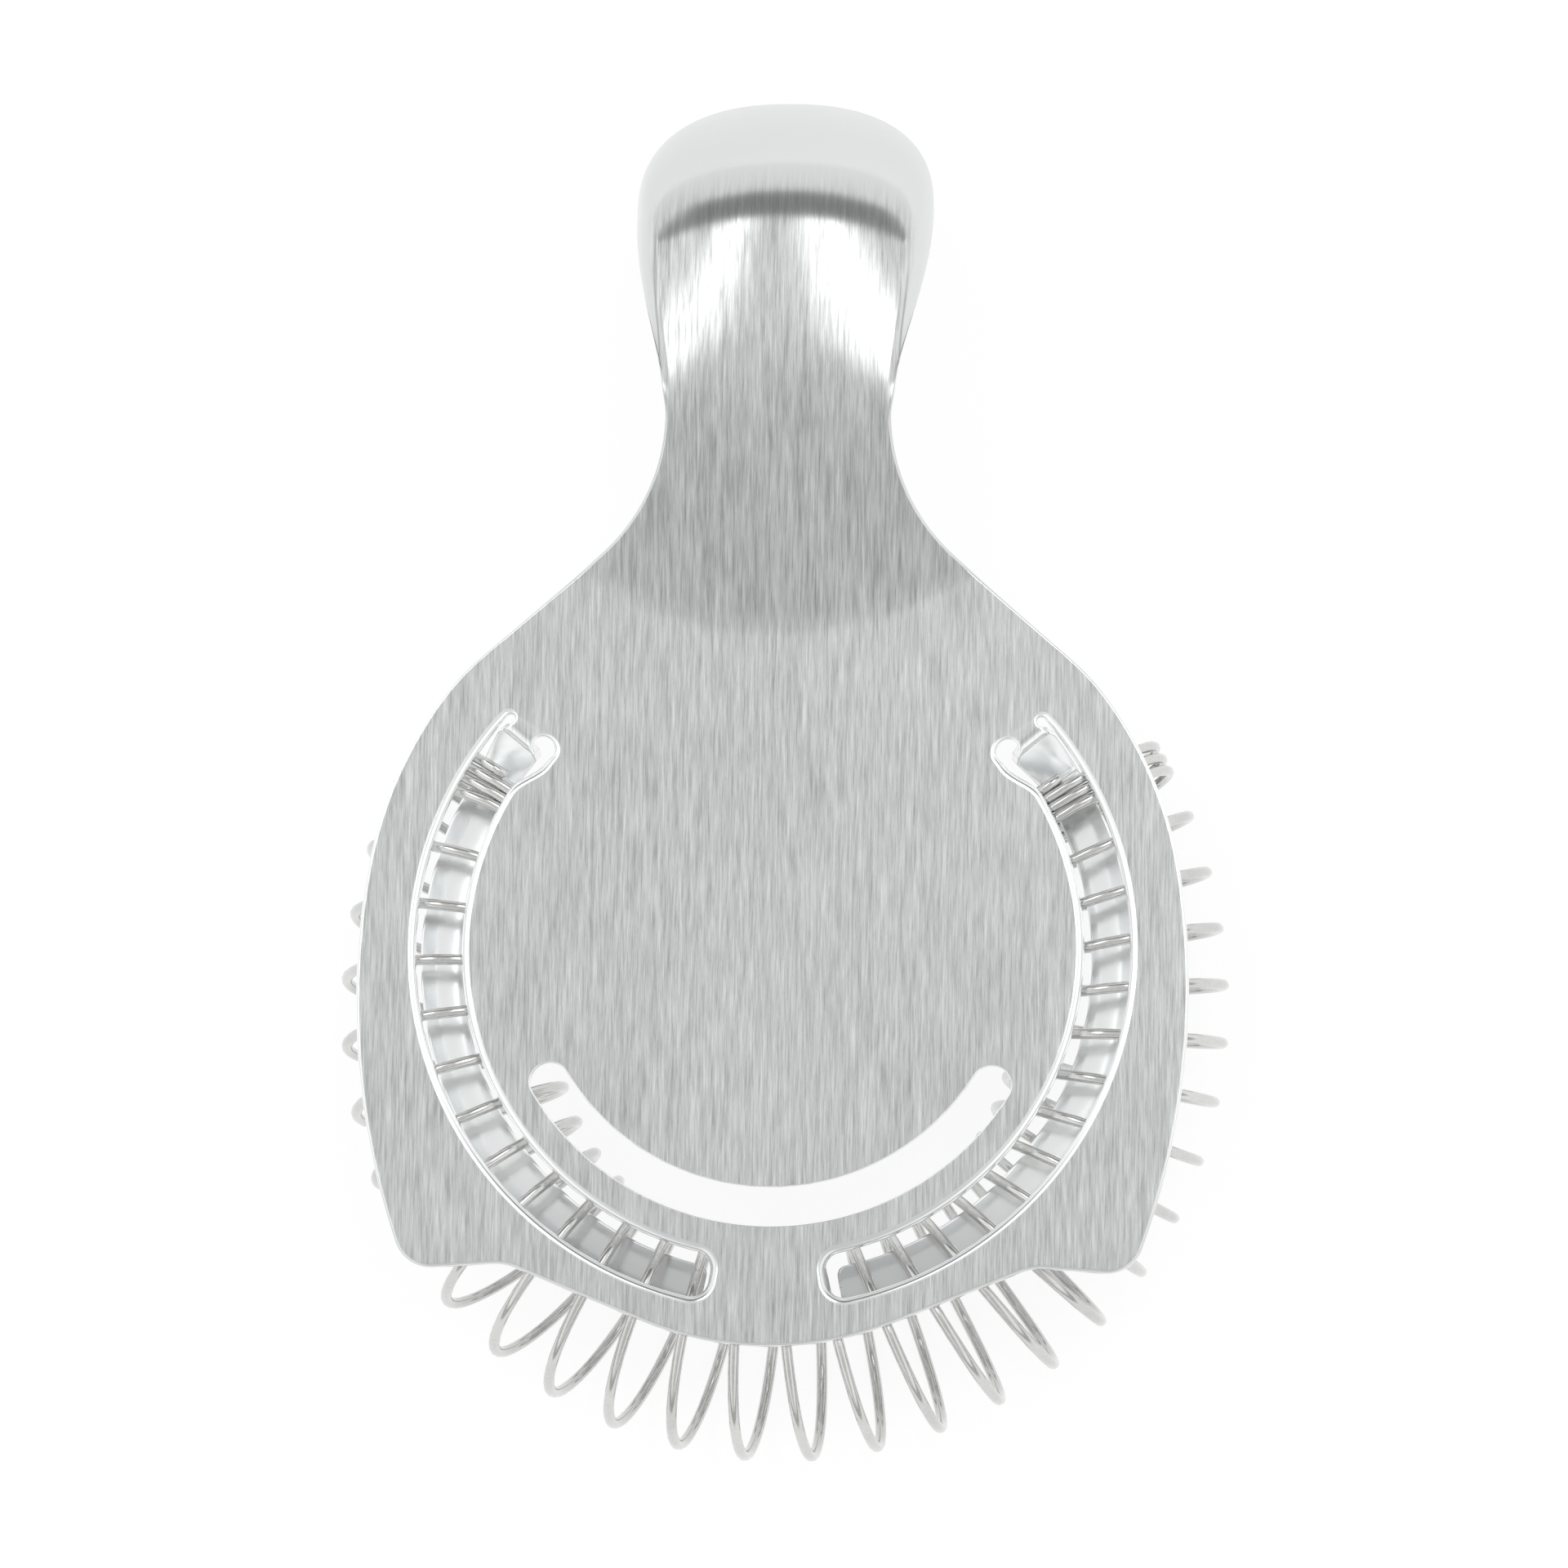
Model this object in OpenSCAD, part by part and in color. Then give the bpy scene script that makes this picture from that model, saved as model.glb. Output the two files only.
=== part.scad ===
// Hawthorne strainer: one pressed sheet-steel body that carries a removable coil spring.
// Frame: origin at the centre of the slot ring on the plate's top face, +Z up,
// +Y towards the handle. All lengths are in millimetres.

/* [Sheet] */
// Thickness of the pressed steel sheet
sheet_t = 1.2; // [1:0.1:1.3]

/* [Head plate] */
// Angle between the straight shoulder and a line across the plate, in degrees
shoulder_angle = 41; // [38:1:44]
// Radius of the hollow fillet between shoulder and neck
neck_fillet_r = 20.5; // [18:0.5:23]
// Height of the neck's waist above the ring centre
waist_y = 60.1; // [59:0.1:61]
// Half of the neck's width at the waist
waist_half_w = 12.7; // [12:0.1:14]
// Length of the straight shoulder
shoulder_len = 17.7; // [17.2:0.1:18.5]
// Radius of the rounded ear corners at the front of the plate
ear_r = 4.2; // [3.6:0.1:4.6]
// Radius of the plate's curved front edge
front_r = 37.4; // [35:0.2:39]

/* [Pour slot] */
// Radius of the centre line of the curved pour slot
pour_r = 28.9; // [28.5:0.1:29.5]
// Width of the pour slot
pour_w = 4.4; // [3.5:0.1:4.8]
// Angle of the slot's ends below the line across the plate, in degrees
pour_end = 31.6; // [28:0.2:36]

/* [Spring track] */
// Radius of the centre line of the two track slots and their strips
track_r = 37.35; // [37:0.05:37.6]
// Width of each track slot
track_w = 5.1; // [5:0.1:5.4]
// Angle at which each strip leaves the plate, above the line across the plate
root_angle = 41; // [39:0.5:42]
// Angle at which each track slot ends, below the line across the plate
track_end = 80; // [78:0.5:81]
// Corner radius at the free end of each track slot
track_corner_r = 2; // [1.5:0.1:2.4]
// Radius of the round relief at the root of each strip
relief_r = 3.2; // [3:0.1:3.4]
// Width of each strip
strip_w = 4.9; // [4.4:0.1:4.9]
// Depth of the strips' top face below the plate's top face
strip_drop = 9.3; // [9.2:0.1:10]

/* [Handle] */
// Distance from the ring centre to the first line of the neck's bend
bend_y = 34.9; // [34.5:0.1:36]
// Slope of the neck after the bend, as rise over run
neck_slope = 0.19; // [0.12:0.01:0.24]
// Half of the handle's greatest width
handle_half_w = 16.9; // [15.5:0.1:17.5]
// Distance from the ring centre to the tip of the handle
handle_tip_y = 99.4; // [97:0.1:101]
// How far the turned-down rim drops at the tip
rim_drop = 14; // [10:0.5:17]

/* [Coil spring] */
// Diameter of the spring wire
wire_d = 1.2; // [1:0.1:1.3]
// Outside diameter of the coil
coil_od = 24.6; // [24.4:0.1:25]
// How far the coil's centre line bulges past the track at the front
coil_bulge = 7.6; // [4:0.1:7.8]
// Number of open turns between the two closed ends
open_turns = 29; // [24:1:32]
// Number of closed turns at each end
closed_turns = 3; // [2:1:4]

/* [Hidden] */
steel = [0.78, 0.79, 0.80];
wire_steel = [0.86, 0.86, 0.86];
$fn = 96;
cut_gap = 1; // how far a cutter reaches past the faces it cuts

// ---- smooth steps and walks -------------------------------------------------

// 0 below zero, 1 above one, with level ends
function smooth(t) = t <= 0 ? 0 : t >= 1 ? 1 : t * t * (3 - 2 * t);

// A walk is a start point, a heading in degrees and legs of [turn, radius];
// a leg with no turn is straight and its second value is a length.
function leg_end(p, h, leg) = leg[0] == 0
    ? p + leg[1] * [cos(h), sin(h)]
    : p + leg[1] * sign(leg[0]) * [sin(h + leg[0]) - sin(h), cos(h) - cos(h + leg[0])];
function leg_steps(leg) = leg[0] == 0 ? 1 : ceil(abs(leg[0]) / 3);
function part_leg(leg, share) = leg[0] == 0 ? [0, leg[1] * share] : [leg[0] * share, leg[1]];
function walk(p, h, legs, i = 0) = i == len(legs)
    ? [p]
    : let (n = leg_steps(legs[i]))
        concat(
            [p],
            [for (k = [1 : 1 : n - 1]) leg_end(p, h, part_leg(legs[i], k / n))],
            walk(leg_end(p, h, legs[i]), h + legs[i][0], legs, i + 1)
        );
function sum_turns(legs, i = 0) = i == len(legs) ? 0 : legs[i][0] + sum_turns(legs, i + 1);

// ---- head plate -------------------------------------------------------------

seam_y = 33.4; // straight line where the flat plate meets the neck
skin = 0.02; // how far strips and neck stay inside the plate's faces where they join it
fillet_turn = 90 - shoulder_angle;
fillet_end = [
    waist_half_w + neck_fillet_r * (1 - cos(fillet_turn)),
    waist_y - neck_fillet_r * sin(fillet_turn)
];
seam_x = fillet_end[0] + (fillet_end[1] - seam_y) / tan(shoulder_angle);
seam_to_side = shoulder_len - (fillet_end[1] - seam_y) / sin(shoulder_angle);

// From the seam down the right side to the ear: the side's radius grows, then the
// corner turns under the ear, a shallow notch follows, and a straight leads to the front.
side_turns = [[-13.5, 27.8], [-26.5, 45.8], [-28.7, 85]];
side_heading = -shoulder_angle + sum_turns(side_turns);
ear_rise = 4; // how many degrees the ear's front edge leans back up
notch_turn = 26.2;
front_turn = notch_turn - ear_rise;
side_legs = concat(
    [[0, seam_to_side]],
    side_turns,
    [
        [-180 - ear_rise - side_heading, ear_r],
        [0, 6.5],
        [notch_turn, 5.9]
    ]
);
side_points = walk([seam_x, seam_y], -shoulder_angle, side_legs);
notch_end = side_points[len(side_points) - 1];
front_arc_x = front_r * sin(front_turn);
front_straight = (notch_end[0] - front_arc_x) / cos(front_turn);
half_outline = concat(
    side_points,
    walk(
        notch_end + front_straight * [-cos(front_turn), -sin(front_turn)],
        180 + front_turn,
        [[-front_turn, front_r]]
    )
);

module plate_blank() {
    n = len(half_outline);
    polygon(concat(
        half_outline,
        [for (i = [n - 2 : -1 : 0]) [-half_outline[i][0], half_outline[i][1]]]
    ));
}

// A cutter that follows a ring between two angles, through the whole sheet
module ring_cut(r, w, from, to) {
    rotate([0, 0, from])
        rotate_extrude(angle = to - from)
            translate([r - w / 2, -sheet_t - cut_gap])
                square([w, sheet_t + 2 * cut_gap]);
}

module pin_cut(r, polar_r, angle) {
    rotate([0, 0, angle])
        translate([polar_r, 0, -sheet_t - cut_gap])
            cylinder(r = r, h = sheet_t + 2 * cut_gap);
}

module pour_slot() {
    ring_cut(pour_r, pour_w, pour_end - 180, -pour_end);
    pin_cut(pour_w / 2, pour_r, -pour_end);
    pin_cut(pour_w / 2, pour_r, pour_end - 180);
}

// One track slot on the right: the ring between a square free end with rounded
// corners and a round relief at the strip's root
relief_polar_r = track_r - track_w / 2 + relief_r - 1.2;
relief_angle = root_angle - asin(relief_r / relief_polar_r);
corner_angle = asin(track_corner_r / track_r);
module track_slot() {
    corner_from_centre = track_w / 2 - track_corner_r;
    ring_cut(track_r, track_w, corner_angle - track_end, relief_angle);
    ring_cut(track_r, 2 * corner_from_centre, -track_end, corner_angle - track_end + 0.5);
    for (side = [-1, 1]) {
        pin_cut(track_corner_r, track_r + side * corner_from_centre, corner_angle - track_end);
    }
    pin_cut(relief_r, relief_polar_r, relief_angle);
}

module head_plate() {
    difference() {
        translate([0, 0, -sheet_t])
            linear_extrude(sheet_t)
                plate_blank();
        pour_slot();
        track_slot();
        mirror([1, 0, 0]) track_slot();
    }
}

// ---- spring strips ----------------------------------------------------------

// Side view of a strip: it bends down out of the plate, runs down a steep straight
// and bends level again. Each station is [distance along the ring, depth, tilt].
bend_r = 1.7;
bend_tilt = 65;
bend_depth = bend_r * (1 - cos(bend_tilt));
bend_run = bend_r * sin(bend_tilt);
ramp_depth = strip_drop - 2 * bend_depth;
ramp_run = ramp_depth / tan(bend_tilt);
strip_root_in = 1.2; // how far the strip starts inside the plate
strip_out = 0.45; // how far it sits outside the track's centre line when level
crown = 0.2; // how much higher the strip's middle is than its edges
free_end = track_end - 1.6;
level_from = 2 * bend_run + ramp_run;
level_to = (root_angle + free_end) * PI / 180 * track_r;
free_corner_r = 1.1;

bend_steps = 6;
level_steps = 34;
strip_stations = concat(
    [[-strip_root_in, 0, 0]],
    [for (i = [0 : bend_steps])
        let (a = bend_tilt * i / bend_steps)
            [bend_r * sin(a), bend_r * (1 - cos(a)), a]],
    [for (i = [0 : bend_steps])
        let (a = bend_tilt * (1 - i / bend_steps))
            [level_from - bend_r * sin(a), strip_drop - bend_r * (1 - cos(a)), a]],
    [for (i = [1 : level_steps])
        [level_from + (level_to - free_corner_r - level_from) * i / level_steps, strip_drop, 0]],
    [for (a = [30 : 20 : 90]) [level_to - free_corner_r * (1 - sin(a)), strip_drop, 0]]
);

// Half widths of the strip: flared towards the relief at its root, rounded at its end
flare = 0.8;
function end_trim(run) =
    let (past = max(0, run - level_to + free_corner_r))
        free_corner_r - sqrt(max(0, free_corner_r * free_corner_r - past * past));
function outer_half(run) = strip_w / 2 - end_trim(run);
function inner_half(run) = strip_w / 2 + flare * (1 - smooth(run / level_from)) - end_trim(run);

// One cross-section of the strip, as a ring of points
across = [-1, -0.5, 0, 0.5, 1];
function strip_section(station) =
    let (
        run = station[0],
        polar = root_angle - run / track_r * 180 / PI,
        out_dir = [cos(polar), sin(polar), 0],
        run_dir = [sin(polar), -cos(polar), 0],
        up = sin(station[2]) * run_dir + [0, 0, cos(station[2])],
        edge_fall = crown * smooth(run / level_from),
        mid = (track_r + strip_out * smooth(run / level_from)) * out_dir - [0, 0, station[1]]
    )
        concat(
            [for (k = across)
                mid + k * (k > 0 ? outer_half(run) : inner_half(run)) * out_dir
                    - (skin + edge_fall * k * k) * up],
            [for (i = [len(across) - 1 : -1 : 0])
                let (k = across[i])
                    mid + k * (k > 0 ? outer_half(run) : inner_half(run)) * out_dir
                        - (sheet_t - skin + edge_fall * k * k) * up]
        );

// Two triangles for a four-sided patch, leaving out any that two equal corners flatten
function quad(a, b, c, d) = [for (t = [[a, b, c], [a, c, d]])
    if (t[0] != t[1] && t[1] != t[2] && t[2] != t[0]) t];

// A closed tube through a list of sections that all have the same even number of points
module loft(sections) {
    n = len(sections[0]);
    last = (len(sections) - 1) * n;
    polyhedron(
        points = [for (section = sections) for (p = section) p],
        faces = concat(
            [for (i = [0 : n / 2 - 2]) each quad(i, n - 1 - i, n - 2 - i, i + 1)],
            [for (s = [0 : n : last - n]) for (i = [0 : n - 1])
                each quad(s + i, s + (i + 1) % n, s + n + (i + 1) % n, s + n + i)],
            [for (i = [0 : n / 2 - 2])
                each quad(last + i + 1, last + n - 2 - i, last + n - 1 - i, last + i)]
        ),
        convexity = 10
    );
}

module carrier_strip() {
    loft([for (station = strip_stations) strip_section(station)]);
}

// ---- neck and handle --------------------------------------------------------

// The sheet rises after the bend, whose line bows towards the head, and arches over
// towards the handle's end, where it is also crowned from side to side.
bend_bow_r = 38;
bend_soft = 3;
arch_y = 58.4;
arch_rate = 0.0129;
crown_y = 58;
crown_soft = 6;
crown_rate = 0.00115;
function ramp(d) = d <= 0 ? 0
    : d < bend_soft ? neck_slope * d * d / (2 * bend_soft)
    : neck_slope * (d - bend_soft / 2);
function top_z(x, y) = ramp(y - bend_y - x * x / (2 * bend_bow_r))
    - arch_rate * pow(max(0, y - arch_y), 2) / 2
    - crown_rate * crown_growth(max(0, y - crown_y)) * x * x / 2;
function crown_growth(d) = d * d / (d + crown_soft);

// The outer edge: shoulder, fillet, waist and a flare to the widest line, then a
// rounded end that is a superellipse about the middle of the widest line
wide_y = 84.9;
cap_power = 2 / 2.45;
function edge_half(y) =
    y < fillet_end[1] ? fillet_end[0] + (fillet_end[1] - y) / tan(shoulder_angle)
    : y < waist_y ? waist_half_w + neck_fillet_r
        - sqrt(neck_fillet_r * neck_fillet_r - pow(waist_y - y, 2))
    : waist_half_w
        + (handle_half_w - waist_half_w) * flare_curve((y - waist_y) / (wide_y - waist_y));
function flare_curve(t) = (sin(180 * t - 90) + 1) / 2 * 0.55 + 0.45 * sin(90 * t);

// The fold where the top face turns into the rim: inside the edge by the rim's width
rim_w_flat = 1.6;
rim_w_side = 3.2;
fold_end_y = 79.6;
fold_tip_y = handle_tip_y - 19.4;
function rim_w(y) = rim_w_flat
    + (rim_w_side - rim_w_flat) * smooth((y - waist_y) / (wide_y - waist_y));
rim_drop_side = 6.5;
rim_pull_side = 0.7; // how far the rim runs out before it drops, as a share of its width
rim_pull_tip = 0.6;
function rim_fall(y) = rim_drop_side * smooth((y - waist_y - 1) / (wide_y - waist_y + 4));

// Stations run up the right side and then round the end to the middle of the tip.
// Each is [edge point, fold point, spine point, rim drop, pull of the bend].
side_steps = 26;
cap_steps = 14;
spine_end_y = 74.4;
root_y = seam_y - 1.5; // the neck starts a little inside the plate
handle_stations = concat(
    [for (i = [0 : side_steps])
        let (
            t = i / side_steps,
            y = root_y + (wide_y - root_y) * t,
            fold_y = root_y + (fold_end_y - root_y) * t,
            spine_y = root_y + (spine_end_y - root_y) * t,
            half = edge_half(y) - skin
        )
            [[half, y], [half - rim_w(y), fold_y], [0, spine_y], rim_fall(y), rim_pull_side]],
    [for (i = [1 : cap_steps])
        let (
            a = 90 * i / cap_steps,
            c = pow(cos(a), cap_power),
            s = pow(sin(a), cap_power),
            side_fall = rim_fall(wide_y)
        )
            [
                [handle_half_w * c, wide_y + (handle_tip_y - wide_y) * s],
                [
                    (handle_half_w - rim_w_side) * c,
                    fold_end_y + (fold_tip_y - fold_end_y) * (1 - c * c)
                ],
                [0, spine_end_y],
                side_fall + (rim_drop - side_fall) * smooth(i / cap_steps),
                rim_pull_side + (rim_pull_tip - rim_pull_side) * smooth(i / cap_steps)
            ]]
);

// Points across one station, from the spine over the fold to the edge. The rim is a
// quadratic curve that leaves the top face level and ends steep.
face_steps = 6;
rim_steps = 6;
levels = face_steps + rim_steps;
function with_z(p) = [p[0], p[1], top_z(p[0], p[1]) - skin];
function level_point(station, k) =
    let (
        edge = station[0],
        fold = station[1],
        spine = station[2]
    )
        k <= face_steps
            ? with_z(spine + (fold - spine) * k / face_steps)
            : let (
                v = (k - face_steps) / rim_steps,
                reach = 2 * v * (1 - v) * station[4] + v * v,
                p = fold + (edge - fold) * reach
            )
                with_z(p) - [0, 0, v * v * station[3]];

// The whole top surface as rows, each from one edge over the spine to the other
station_count = len(handle_stations);
function flip(p) = [-p[0], p[1], p[2]];
top_right = [for (s = handle_stations) [for (k = [0 : levels]) level_point(s, k)]];

// Normal of the top surface on the right side, from its neighbours in both directions
function nearby(s, k, ds, dk) =
    top_right[min(station_count - 1, max(0, s + ds))][min(levels, max(0, k + dk))];
function along(s, k) = s == station_count - 1
    ? flip(nearby(s, k, -1, 0)) - nearby(s, k, -1, 0)
    : nearby(s, k, 1, 0) - nearby(s, k, -1, 0);
function level_dir(s, k) = k == 0
    ? (s >= side_steps ? [1, 0, 0] : nearby(s, 1, 0, 0) - flip(nearby(s, 1, 0, 0)))
    : nearby(s, k, 0, 1) - nearby(s, k, 0, -1);
function spine_along(s) = top_right[min(s + 1, side_steps)][0] - top_right[max(s - 1, 0)][0];
function unit(v) = v / norm(v);
function normal(s, k) = k == 0
    ? unit(cross([1, 0, 0], spine_along(min(s, side_steps))))
    : unit(cross(level_dir(s, k), along(s, k)));
under_right = [for (s = [0 : station_count - 1])
    [for (k = [0 : levels]) top_right[s][k] - (sheet_t - 2 * skin) * normal(s, k)]];

// Vertex numbers: right half first, then the left half without the shared ones
row = levels + 1;
sheet_points = station_count * row;
function right_id(s, k) = k == 0 ? min(s, side_steps) * row : s * row + k;
function left_id(s, k) = k == 0 || s == station_count - 1
    ? right_id(s, k)
    : sheet_points + s * row + k;

module neck_and_handle() {
    side_points_3d = function (sheet) concat(
        [for (r = sheet) for (p = r) p],
        [for (r = sheet) for (p = r) flip(p)]
    );
    under = 2 * sheet_points;
    top_faces = [for (s = [0 : station_count - 2]) for (k = [0 : levels - 1])
        each concat(
            quad(right_id(s, k), right_id(s + 1, k), right_id(s + 1, k + 1), right_id(s, k + 1)),
            quad(left_id(s, k), left_id(s, k + 1), left_id(s + 1, k + 1), left_id(s + 1, k))
        )];
    edge_faces = [for (s = [0 : station_count - 2])
        each concat(
            quad(
                right_id(s, levels), right_id(s + 1, levels),
                under + right_id(s + 1, levels), under + right_id(s, levels)
            ),
            quad(
                left_id(s, levels), under + left_id(s, levels),
                under + left_id(s + 1, levels), left_id(s + 1, levels)
            )
        )];
    seam_faces = [for (k = [0 : levels - 1])
        each concat(
            quad(
                right_id(0, k), right_id(0, k + 1),
                under + right_id(0, k + 1), under + right_id(0, k)
            ),
            quad(
                left_id(0, k + 1), left_id(0, k),
                under + left_id(0, k), under + left_id(0, k + 1)
            )
        )];
    under_faces = [for (f = top_faces) [under + f[2], under + f[1], under + f[0]]];
    polyhedron(
        points = concat(side_points_3d(top_right), side_points_3d(under_right)),
        faces = concat(top_faces, under_faces, edge_faces, seam_faces),
        convexity = 10
    );
}

module strainer_body() {
    color(steel) {
        head_plate();
        carrier_strip();
        mirror([1, 0, 0]) carrier_strip();
        neck_and_handle();
    }
}

// ---- coil spring ------------------------------------------------------------

// The coil hangs under the plate with the strips inside it, near its top. Its centre
// line follows the track and bulges forward.
coil_r = (coil_od - wire_d) / 2;
coil_gap = 0.15; // between the coil's top and the plate's underside
coil_z = -sheet_t - coil_gap - coil_od / 2;
coil_shift = [0.7, 1]; // where the loose coil sits, measured from the track's centre
coil_end_angle = 31;
closed_pitch = wire_d * 1.04;
pitch_skew = 0.094;
pitch_wave = 0.166;

closed_arc = closed_turns * closed_pitch / track_r * 180 / PI;
all_arc = 180 + 2 * coil_end_angle;
closed_share = closed_arc / all_arc;
all_turns = open_turns + 2 * closed_turns;

// Share of the arc, from the left end to the right end, reached after some turns. The
// open turns lie further apart near the coil's ends, most of all near the left one.
function skewed(f) = f + f * (1 - f) * (pitch_skew + pitch_wave * (1 - 2 * f));
function arc_share(turns) =
    turns < closed_turns ? closed_share * turns / closed_turns
    : turns > all_turns - closed_turns
        ? 1 - closed_share * (all_turns - turns) / closed_turns
    : closed_share + (1 - 2 * closed_share) * skewed((turns - closed_turns) / open_turns);

// How far the coil's centre line stands outside the track, as a share of the bulge:
// nearly nothing beside the roots, then growing with the distance to the front
bulge_soft = 0.45;
bulge_base = 0.2;
function bulge_rise(s) = (s + sqrt(s * s + bulge_soft * bulge_soft)) / 2 - bulge_base;
function coil_centre(share) =
    let (
        a = 180 - coil_end_angle + all_arc * share,
        r = track_r + coil_bulge * bulge_rise(-sin(a)) / bulge_rise(1)
    )
        [r * cos(a) + coil_shift[0], r * sin(a) + coil_shift[1], coil_z];

// A point of the wire: over the top it runs outwards, under the bottom inwards
function wire_point(turns) =
    let (
        share = arc_share(turns),
        centre = coil_centre(share),
        ahead = unit(coil_centre(share + 0.001) - coil_centre(share - 0.001)),
        outward = cross(ahead, [0, 0, 1]),
        a = 360 * turns
    )
        centre + coil_r * (outward * sin(a) + [0, 0, cos(a)]);

steps_per_turn = 16;
wire_sides = 6;
function wire_section(i) =
    let (
        t = i / steps_per_turn,
        p = wire_point(t),
        dir = unit(wire_point(t + 0.01) - wire_point(t - 0.01)),
        out = unit(p - coil_centre(arc_share(t))),
        side = unit(cross(dir, out)),
        lift = cross(side, dir)
    )
        [for (k = [0 : wire_sides - 1])
            let (a = 360 * k / wire_sides)
                p + wire_d / 2 * (cos(a) * lift - sin(a) * side)];

module coil_spring() {
    color(wire_steel)
        loft([for (i = [0 : all_turns * steps_per_turn]) wire_section(i)]);
}

strainer_body();
coil_spring();
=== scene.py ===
"""Hawthorne strainer: one pressed and brushed steel sheet that carries a bright coil spring."""

import math

import bpy
import numpy as np
from mathutils import Matrix, Vector, geometry


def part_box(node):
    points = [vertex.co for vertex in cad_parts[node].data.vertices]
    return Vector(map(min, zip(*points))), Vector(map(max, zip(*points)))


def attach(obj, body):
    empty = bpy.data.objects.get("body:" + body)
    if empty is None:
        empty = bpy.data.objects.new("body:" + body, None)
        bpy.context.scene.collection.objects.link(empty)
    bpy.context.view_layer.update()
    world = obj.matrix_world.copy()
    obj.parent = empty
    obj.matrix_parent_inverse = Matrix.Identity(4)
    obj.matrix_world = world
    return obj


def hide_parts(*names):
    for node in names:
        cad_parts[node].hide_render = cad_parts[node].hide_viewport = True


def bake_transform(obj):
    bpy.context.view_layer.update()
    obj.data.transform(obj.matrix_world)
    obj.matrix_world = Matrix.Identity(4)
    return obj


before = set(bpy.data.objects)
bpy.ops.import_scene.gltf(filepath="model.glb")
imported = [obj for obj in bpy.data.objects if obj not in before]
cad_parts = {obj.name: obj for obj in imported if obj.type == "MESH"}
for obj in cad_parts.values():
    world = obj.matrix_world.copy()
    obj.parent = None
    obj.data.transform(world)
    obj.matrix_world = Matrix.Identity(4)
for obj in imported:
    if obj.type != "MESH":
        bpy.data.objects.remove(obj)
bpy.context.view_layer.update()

# ---- dimensions, in millimetres in the row frame ------------------------------

MM = 0.001
UP = np.array([0.0, 0.0, 1.0])
SHEET_T = 1.2

# Head plate
SEAM_Y = 33.4          # straight line where the flat plate meets the neck
SHOULDER_ANGLE = 41.0  # degrees from crosswise
SHOULDER_LEN = 17.7
WAIST_Y = 60.1
WAIST_HALF_W = 12.7
NECK_FILLET_R = 20.5
SIDE_TURNS = [(-13.5, 27.8), (-26.5, 45.8), (-28.7, 85.0)]  # degrees turned and radius
EAR_R = 4.2
EAR_RISE = 4.0         # degrees by which the ear's front edge tilts
EAR_FRONT = 6.5        # length of that edge
NOTCH_TURN = 26.2      # degrees turned in the hollow between ear and front
NOTCH_R = 5.9
FRONT_R = 37.4

# Pour slot
POUR_R = 28.9
POUR_W = 4.4
POUR_END = 31.6        # degrees from crosswise to the middle of each round end

# Track slots and the strips cut out of them
TRACK_R = 37.35
TRACK_W = 5.1
ROOT_ANGLE = 41.0      # degrees from crosswise, towards the handle
TRACK_END = 80.0       # degrees from crosswise, towards the front
TRACK_CORNER_R = 2.0
LOBE_IN = 4.2          # how far the root's inner lobe reaches inside the track's centre line
LOBE_HOLD = 1.5        # how far the lobe keeps its full width along the track
LOBE_LEN = 7.0         # how far the lobe runs along the track
ROOT_HALF_W = 1.6
STRIP_W = 4.9
STRIP_OUT = 0.45       # how far the strips sit outside the track's centre line when level
STRIP_FLARE = 0.8      # extra width on the inner side next to the root
STRIP_FLARE_LEN = 3.2  # length over which the strip widens from its root
STRIP_DROP = 9.3
STRIP_BEND_R = 1.7
STRIP_TILT = math.radians(65)
STRIP_CROWN = 0.2
STRIP_END_GAP = 1.6    # degrees between the strip's free end and the slot's end
STRIP_CORNER_R = 1.1

# Neck and handle
BEND_Y = 34.9
BEND_SOFT = 3.0        # length over which the bend is eased
BEND_BOW_R = 38.0      # radius of the bend line, whose middle lies nearest the plate
NECK_SLOPE = 0.19
ARCH_Y = 58.4
ARCH_RATE = 0.0129     # change of slope per millimetre along the handle
CROWN_Y = 58.0
CROWN_SOFT = 6.0
CROWN_RATE = 0.00115   # growth of the crosswise curve per millimetre along the handle
WIDE_Y = 84.9
HANDLE_HALF_W = 16.9
HANDLE_TIP_Y = 99.4
CAP_ROUND = 2.45       # exponent of the superellipse round the handle's tip
FLARE_EARLY = 0.45     # share of the handle's flare that starts at once at the waist
RIM_W_FLAT = 1.6
RIM_W_SIDE = 3.2
RIM_DROP_SIDE = 6.5
RIM_DROP_TIP = 14.0
RIM_FALL_START = 1.0   # how far past the waist the rim starts to turn down
RIM_FALL_EXTRA = 4.0   # how much further than the widest line its fall is spread
RIM_PULL_SIDE = 0.7    # how early the turned-down rim reaches outwards
RIM_PULL_TIP = 0.6
FOLD_END_Y = 79.6
FOLD_TIP_Y = 80.0
SPINE_END_Y = 74.4

# Rounding of the sheet's edges: width on top, height on top, radius underneath
OUTER_EDGE = (0.40, 0.40, 0.18)
POUR_EDGE = (0.14, 0.14, 0.10)
LIP_EDGE = (0.95, 0.75, 0.20)
STRIP_EDGE = (0.30, 0.30, 0.20)

# Coil
WIRE_D = 1.2
COIL_OD = 24.6
COIL_Z = -13.65
COIL_SHIFT = (0.7, 1.0)  # where the loose coil's centre sits from the track's
COIL_BULGE = 7.6
BULGE_SOFT = 0.45
BULGE_BASE = 0.2
COIL_END_ANGLE = 31.0
OPEN_TURNS = 29
CLOSED_TURNS = 3
CLOSED_PITCH = WIRE_D * 1.04
PITCH_SKEW = 0.094     # share by which the turns near the left end lie further apart
PITCH_WAVE = 0.166     # share by which the turns near both ends lie further apart
END_DOME = [(0.10, 0.62), (0.04, 0.88)]  # rings of a cut end: reach and size in wire widths

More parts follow.
